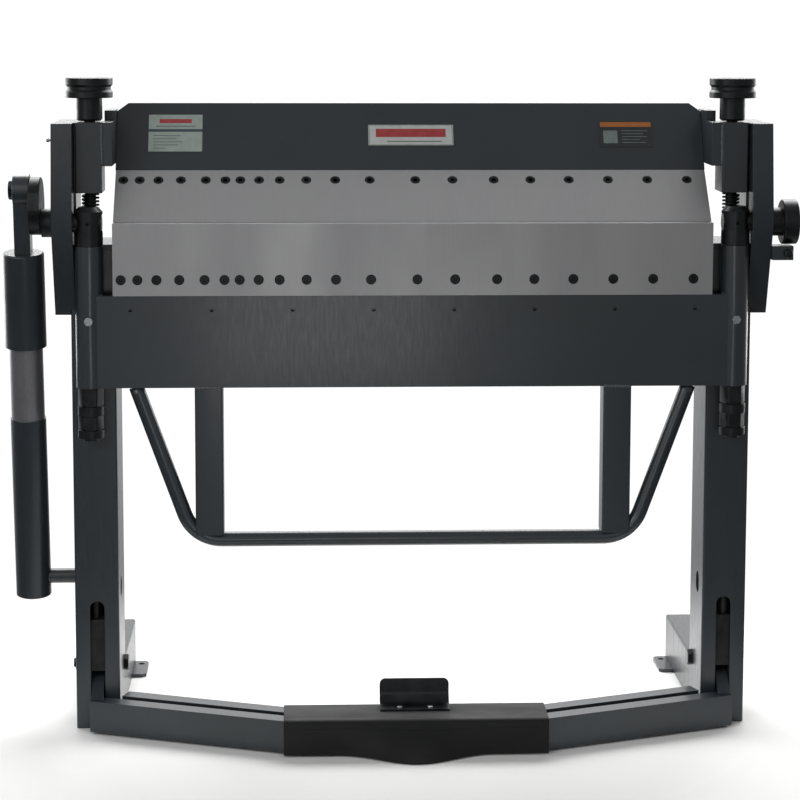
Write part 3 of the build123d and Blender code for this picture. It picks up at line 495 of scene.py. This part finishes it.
class BRAKE_OT_leaf(bpy.types.Operator):
    """Bending leaf with its bar segments, posts, knuckles and crank"""

    bl_idname = "brake.leaf"
    bl_label = "Leaf"

    def execute(self, context):
        refine_body("leaf", skip=("handle_tube",))
        return {"FINISHED"}


def handle_line(half_top, half_low, top_z, low_z, radius, y):
    """Centre line of the U handle: straights joined by arcs tangent to both.

    A corner's arc is radius * tan(half its turn) from the corner on each side.
    """
    slope = np.arctan2(top_z - low_z, half_top - half_low)
    back = radius * tan(slope / 2)
    arc_centre = np.array([half_low - back, low_z + radius])
    turn = np.linspace(-pi / 2, slope - pi / 2, 16)
    arc = arc_centre + radius * np.stack([np.cos(turn), np.sin(turn)], -1)
    run = np.linspace(0, 1, 20)[:, None]
    bottom = np.array([[0, low_z]]) * (1 - run) + arc[:1] * run
    side = arc[-1:] * (1 - run) + np.array([[half_top, top_z]]) * run
    half = np.concatenate([bottom[:-1], arc, side[1:]])
    whole = np.concatenate([half[:0:-1] * (-1, 1), half])
    return np.stack([MIDDLE_X + whole[:, 0], np.full(len(whole), y), whole[:, 1]], -1)


class BRAKE_OT_handle(bpy.types.Operator):
    """Bent tube handle under the leaf"""

    bl_idname = "brake.handle"
    bl_label = "Handle"

    def execute(self, context):
        sizes = context.scene.brake_sizes
        low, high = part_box("handle_tube")
        radius = (high.y - low.y) / 2
        line = handle_line(sizes.handle_top, sizes.handle_low, high.z, low.z + radius,
                           sizes.handle_bend, (low.y + high.y) / 2)
        piece = tube_surface("handle_bent_tube", line, radius - 0.02 * MM, sides=40)
        dress(piece, "leaf", slot_finish("charcoal_paint"))
        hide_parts("handle_tube")
        return {"FINISHED"}


class BRAKE_OT_clamp_beam(bpy.types.Operator):
    """Clamping beam with its fingers, end blocks, rods and knobs"""

    bl_idname = "brake.clamp_beam"
    bl_label = "Clamping beam"

    def execute(self, context):
        for body in ("clamp_beam", "left_knob", "right_knob"):
            refine_body(body)
        return {"FINISHED"}


class BRAKE_OT_strut(bpy.types.Operator):
    """Counterbalance strut beside the left leg"""

    bl_idname = "brake.strut"
    bl_label = "Strut"

    def execute(self, context):
        for body in ("strut_tube", "strut_sleeve"):
            refine_body(body)
        return {"FINISHED"}


class BRAKE_OT_pedal(bpy.types.Operator):
    """Pedal bars, levers and toe plate"""

    bl_idname = "brake.pedal"
    bl_label = "Pedal"

    def execute(self, context):
        refine_body("pedal", skip=("pedal_tread",))
        return {"FINISHED"}


def tread_skin(low, high, bulge_reach, front_y, groove):
    """Outer skin of the tread: a cross-section carried along X.

    The section runs from the rear lip over the top and a quarter-round nose of 12 mm
    down the front, where a groove is cut as a bell curve of Z 1.5 mm wide.  Below the
    nose the front swells forwards by the bulge's reach times a raised cosine of X times
    the depth below the nose to the power 1.3.
    """
    nose = 12 * MM
    top = high.z
    rear = np.stack([np.full(8, high.y), np.linspace(low.z, top - 3 * MM, 8)], -1)
    across = np.linspace(high.y - 3 * MM, front_y + nose, 40)
    on_top = np.stack([across, np.full(40, top)], -1)
    turn = np.linspace(pi / 2, pi, 10)[1:]
    round_nose = np.stack([front_y + nose + nose * np.cos(turn), top - nose + nose * np.sin(turn)], -1)
    drop = np.linspace(top - nose, low.z, 121)[1:]
    down = np.stack([front_y + groove * np.exp(-((drop - top + 19 * MM) / (1.5 * MM)) ** 2), drop], -1)
    section = np.concatenate([rear, on_top, round_nose, down])
    depth = np.clip((top - nose - section[:, 1]) / (top - nose - low.z), 0, 1) ** 1.3
    depth[:len(rear) + len(on_top)] = 0
    x = np.linspace(low.x, high.x, 140)
    swell = np.where(abs(x - MIDDLE_X) < BULGE_HALF, 0.5 + 0.5 * np.cos(pi * (x - MIDDLE_X) / BULGE_HALF), 0)
    y = section[None, :, 0] - bulge_reach * swell[:, None] * depth[None]
    z = np.broadcast_to(section[None, :, 1], y.shape)
    points = np.stack([np.broadcast_to(x[:, None], y.shape), y, z], -1)
    return points, grid_faces(len(x), len(section), False)


class BRAKE_OT_tread(bpy.types.Operator):
    """Moulded rubber tread over the pedal bars"""

    bl_idname = "brake.tread"
    bl_label = "Pedal tread"

    def execute(self, context):
        low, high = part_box("pedal_tread")
        front_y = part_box("pedal_front_bar")[0].y - RUBBER_AHEAD
        groove = context.scene.brake_sizes.tread_groove
        points, faces = tread_skin(low, high, front_y - low.y, front_y, groove)
        piece = mesh_object("tread_rubber", points, faces)
        work = bmesh.new()
        work.from_mesh(piece.data)
        bmesh.ops.recalc_face_normals(work, faces=work.faces)
        # The skin is open below, so its highest face shows which way the rest point.
        highest = max(work.faces, key=lambda face: face.calc_center_median().z)
        if highest.normal.dot(highest.calc_center_median() - (low + high) / 2) < 0:
            bmesh.ops.reverse_faces(work, faces=work.faces)
        work.to_mesh(piece.data)
        work.free()
        wall = piece.modifiers.new("wall", "SOLIDIFY")
        wall.thickness = TREAD_WALL
        wall.offset = -1
        dress(piece, "pedal", slot_finish("black_rubber"))
        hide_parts("pedal_tread")
        return {"FINISHED"}


def bead(name, start, end, body):
    """A fillet weld between two points.

    Its radius is the weld's, times 1 + 0.14 |sin| of the distance over the ripple,
    times the square root of the distance to the nearer end near both ends.
    """
    sizes = bpy.context.scene.brake_sizes
    start = np.asarray(start, float)
    end = np.asarray(end, float)
    length = np.linalg.norm(end - start)
    s = np.linspace(0, length, max(16, int(length / (0.8 * MM))))
    ends = np.clip(np.minimum(s, length - s) / (4 * MM), 0.02, 1) ** 0.5
    radii = sizes.weld * (1 + 0.14 * abs(np.sin(pi * s / sizes.ripple))) * ends
    along = (end - start) / length
    centres = start + s[:, None] * along
    wander = 0.25 * MM * np.sin(s / (11 * MM)) + 0.15 * MM * np.sin(s / (4.3 * MM))
    side = (1, 0, 0) if abs(along[0]) < 0.7 else (0, 0, 1)
    centres = centres + wander[:, None] * np.asarray(side)
    up = (0, 1, 0) if abs(along[1]) < 0.7 else (1, 0, 0)
    piece = tube_surface(name, centres, radii, sides=10, up=up)
    dress(piece, body, finish(weld_metal))


class BRAKE_OT_welds(bpy.types.Operator):
    """Fillet welds of the leaf, beam, handle and frame"""

    bl_idname = "brake.welds"
    bl_label = "Welds"

    def execute(self, context):
        post_low, post_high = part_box("leaf_posts")
        bracket_low, bracket_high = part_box("end_brackets")
        block_low, block_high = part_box("end_blocks")
        beam_low, beam_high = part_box("beam_front_plate")
        strut_low, strut_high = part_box("handle_struts")
        leg_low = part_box("leg_right")[0]
        bed_low, bed_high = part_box("bed_beam")
        half_panel = (PANEL_HIGH.x - PANEL_LOW.x) / 2
        half_beam = (beam_high.x - beam_low.x) / 2
        half_posts = (post_high.x - post_low.x) / 2
        half_blocks = (block_high.x - block_low.x) / 2
        half_struts = (strut_high.x - strut_low.x) / 2
        # Beads stop a few millimetres short of a corner, so that their round ends stay on the metal.
        for name, side in (("left", -1), ("right", 1)):
            post_x = MIDDLE_X + side * (half_posts - POST_WIDE + 1 * MM)
            panel_x = MIDDLE_X + side * (half_panel - 1.5 * MM)
            bead(f"weld_panel_top_{name}", (post_x, PANEL_FACE_Y + 16 * MM, PANEL_HIGH.z),
                 (panel_x, PANEL_FACE_Y + 3 * MM, PANEL_HIGH.z), "leaf")
            beam_x = MIDDLE_X + side * half_beam
            bead(f"weld_beam_end_{name}", (beam_x, beam_low.y + 24 * MM, bracket_low.z + 2 * MM),
                 (beam_x, beam_high.y - 22 * MM, bracket_high.z - 22 * MM), "clamp_beam")
            block_x = MIDDLE_X + side * (half_blocks - BLOCK_WIDE)
            bracket_y = bracket_low.y + 0.5 * MM
            bead(f"weld_block_{name}", (block_x, bracket_y, bracket_low.z + 2 * MM),
                 (block_x, bracket_y, block_high.z - 2 * MM), "clamp_beam")
            strut_x = MIDDLE_X + side * half_struts
            strut_y = strut_low.y + 1 * MM
            bead(f"weld_strut_{name}", (strut_x - side * STRUT_WIDE, strut_y, strut_high.z),
                 (strut_x, strut_y, strut_high.z), "leaf")
            leg_x = MIDDLE_X + side * (leg_low.x - MIDDLE_X)
            bead(f"weld_bed_front_{name}", (leg_x, bed_low.y, bed_low.z + 3 * MM),
                 (leg_x, bed_low.y, bed_high.z - 34 * MM), "frame")
            bead(f"weld_bed_under_{name}", (leg_x, bed_low.y + 3 * MM, bed_low.z),
                 (leg_x, bed_high.y - 3 * MM, bed_low.z), "frame")
        return {"FINISHED"}


def ink(name, node, rects, material, rise=0.12):
    """Printed blocks on a label: slabs rise mm high, placed by fractions of its width and height."""
    low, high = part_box(node)
    out = np.array([0, -cos(LABEL_LEAN), sin(LABEL_LEAN)])
    bottom = np.array([low.x, low.y, low.z + sin(LABEL_LEAN) * MM])
    top = np.array([low.x, high.y - cos(LABEL_LEAN) * MM, high.z])
    wide = np.array([high.x - low.x, 0, 0])
    rects = np.asarray(rects, float)
    points = []
    for lift in (-0.05 * MM, rise * MM):
        for u, v in ((0, 2), (1, 2), (1, 3), (0, 3)):
            points.append(bottom + rects[:, u:u + 1] * wide + rects[:, v:v + 1] * (top - bottom) + lift * out)
    points = np.stack(points, 1)
    box_faces = np.array([(0, 3, 2, 1), (4, 5, 6, 7), (0, 1, 5, 4), (1, 2, 6, 5), (2, 3, 7, 6), (3, 0, 4, 7)])
    faces = (box_faces[None] + 8 * np.arange(len(rects))[:, None, None]).reshape(-1, 4)
    piece = mesh_object(name, points, faces, smooth=False)
    face_out(piece)
    dress(piece, "clamp_beam", material)


class BRAKE_OT_labels(bpy.types.Operator):
    """Plain printed blocks and rules on the three labels, with no lettering"""

    bl_idname = "brake.labels"
    bl_label = "Labels"

    def execute(self, context):
        dark = printed("ink_slate", "#3A434B", "#444E56", 0.0)
        grey = printed("ink_grey", "#6C7774", "#7A8582", 0.0)
        red = printed("ink_red", "#A03437", "#AC4144", 0.0)
        pale = printed("ink_silver", "#C6CAC8", "#BABFBD", 0.1)
        orange = printed("ink_orange", "#B06A2C", "#A5622A", 0.0)
        ink("spec_band", "spec_plate", [(0.0, 1.0, 0.535, 0.605)], dark)
        rules = [(0.09, 0.09 + wide, 0.42 - 0.085 * row, 0.445 - 0.085 * row)
                 for row, wide in enumerate((0.5, 0.42, 0.55, 0.46, 0.22))]
        ink("spec_rules", "spec_plate", rules + [(0.14, 0.86, 0.665, 0.70)], grey)
        ink("spec_block", "spec_plate", [(0.20, 0.80, 0.77, 0.88)], red)
        ink("name_field", "name_plate", [(0.02, 0.98, 0.05, 0.95)], pale)
        ink("name_block", "name_plate", [(0.09, 0.91, 0.40, 0.80)], red, 0.2)
        ink("name_rule", "name_plate", [(0.22, 0.86, 0.16, 0.22)], grey, 0.2)
        ink("notice_band", "notice_plate", [(0.03, 0.97, 0.76, 0.94)], orange)
        lines = [(0.42, 0.42 + wide, 0.60 - 0.11 * row, 0.62 - 0.11 * row)
                 for row, wide in enumerate((0.48, 0.40, 0.46, 0.34, 0.44))]
        ink("notice_rules", "notice_plate", lines + [(0.08, 0.34, 0.14, 0.62)], grey)
        return {"FINISHED"}


def softbox(name, place, target, width, height, power):
    """A rectangular area light turned towards a target."""
    light = bpy.data.lights.new(name, "AREA")
    light.shape = "RECTANGLE"
    light.size = width
    light.size_y = height
    light.energy = power
    made = bpy.data.objects.new(name, light)
    bpy.context.scene.collection.objects.link(made)
    made.location = place
    made.rotation_euler = (Vector(target) - Vector(place)).to_track_quat("-Z", "Y").to_euler()


class BRAKE_OT_stage(bpy.types.Operator):
    """Pale floor, soft light and the camera"""

    bl_idname = "brake.stage"
    bl_label = "Stage"

    def execute(self, context):
        stage = context.scene.brake_stage
        turn = np.linspace(0, 2 * pi, 96, endpoint=False)
        rings = np.array([0.001, 2, 6, 14, 30])
        points = np.stack([rings[:, None] * np.cos(turn), rings[:, None] * np.sin(turn),
                           np.full((len(rings), len(turn)), -0.2 * MM)], -1)
        floor = mesh_object("floor", points, grid_faces(len(rings), len(turn), True)[:, ::-1])
        floor.data.materials.append(finish(studio_floor))
        middle = (MIDDLE_X, 0, 0.8)
        softbox("key", (-2.6, -3.4, 2.6), middle, 2.2, 2.2, stage.key)
        softbox("top", (0.2, 1.9, 3.1), middle, 3.2, 2.2, stage.top)
        softbox("rim_left", (-2.6, 2.2, 1.4), middle, 1.6, 2.2, stage.rim)
        softbox("rim_right", (2.6, 2.2, 1.4), middle, 1.6, 2.2, stage.rim)
        softbox("low", (MIDDLE_X - 0.15, -3.4, 0.55), (MIDDLE_X - 0.1, 0, 1.0), 0.8, 0.6, stage.low)
        world = bpy.data.worlds.new("studio")
        context.scene.world = world
        world.use_nodes = True
        tree = world.node_tree
        tree.nodes.clear()
        # The room lights the machine from behind, less from overhead and the front, and least from
        # below.  Looked at directly, it is white all round.
        direction = add(tree, "ShaderNodeTexCoord", {}).outputs["Generated"]
        parts = add(tree, "ShaderNodeSeparateXYZ", {"Vector": direction})
        inputs = {"Value": parts.outputs["Y"], "From Min": 0.1, "From Max": 0.8,
                  "To Min": ROOM_FRONT, "To Max": ROOM_BEHIND}
        smooth = add(tree, "ShaderNodeMapRange", inputs, interpolation_type="SMOOTHSTEP")
        behind = smooth.outputs["Result"]
        level = spread(tree, parts.outputs["Z"], ROOM_BELOW, 1.0, -0.28, -0.06)
        lit = add(tree, "ShaderNodeMath", {0: behind, 1: level}, operation="MULTIPLY").outputs[0]
        seen = add(tree, "ShaderNodeLightPath", {}).outputs["Is Camera Ray"]
        strength = add(tree, "ShaderNodeMix", {0: seen, 2: lit, 3: ROOM_BEHIND}, data_type="FLOAT")
        glow = add(tree, "ShaderNodeBackground", {"Color": (1, 1, 1, 1), "Strength": strength.outputs[0]})
        add(tree, "ShaderNodeOutputWorld", {"Surface": glow.outputs[0]})
        camera = bpy.data.cameras.new("camera")
        camera.lens = 107.75
        camera.sensor_width = 36
        camera.shift_y = -0.125
        camera.clip_end = 100
        made = bpy.data.objects.new("camera", camera)
        context.scene.collection.objects.link(made)
        yaw, pitch, roll = CAMERA_TURN
        forward = Vector((sin(yaw) * cos(pitch), cos(yaw) * cos(pitch), -sin(pitch)))
        across = Vector((cos(yaw), -sin(yaw), 0))
        upright = across.cross(forward)
        right = across * cos(roll) + upright * sin(roll)
        up = upright * cos(roll) - across * sin(roll)
        facing = Matrix((right, up, -forward)).transposed().to_4x4()
        made.matrix_world = Matrix.Translation(Vector(CAMERA_PLACE) + Vector((MIDDLE_X, 0, 0))) @ facing
        context.scene.camera = made
        context.scene.view_settings.view_transform = "Standard"
        return {"FINISHED"}


STEPS = (BRAKE_OT_frame, BRAKE_OT_leaf, BRAKE_OT_handle, BRAKE_OT_clamp_beam, BRAKE_OT_strut,
         BRAKE_OT_pedal, BRAKE_OT_tread, BRAKE_OT_welds, BRAKE_OT_labels, BRAKE_OT_stage)


class BRAKE_PT_sidebar(bpy.types.Panel):
    """The pieces of the brake, in the order they are made"""

    bl_label = "Folding Brake"
    bl_idname = "BRAKE_PT_sidebar"
    bl_space_type = "VIEW_3D"
    bl_region_type = "UI"
    bl_category = "Brake"

    def draw(self, context):
        for step in STEPS:
            self.layout.operator(step.bl_idname)


CLASSES = (BrakeFinishes, BrakeSizes, BrakeStage) + STEPS + (BRAKE_PT_sidebar,)


def register():
    for cls in CLASSES:
        bpy.utils.register_class(cls)
    bpy.types.Scene.brake_finishes = bpy.props.PointerProperty(type=BrakeFinishes)
    bpy.types.Scene.brake_sizes = bpy.props.PointerProperty(type=BrakeSizes)
    bpy.types.Scene.brake_stage = bpy.props.PointerProperty(type=BrakeStage)


def unregister():
    del bpy.types.Scene.brake_stage
    del bpy.types.Scene.brake_sizes
    del bpy.types.Scene.brake_finishes
    for cls in reversed(CLASSES):
        bpy.utils.unregister_class(cls)


def main():
    """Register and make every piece."""
    register()
    for step in STEPS:
        group, action = step.bl_idname.split(".")
        getattr(getattr(bpy.ops, group), action)()


if __name__ == "__main__":
    main()
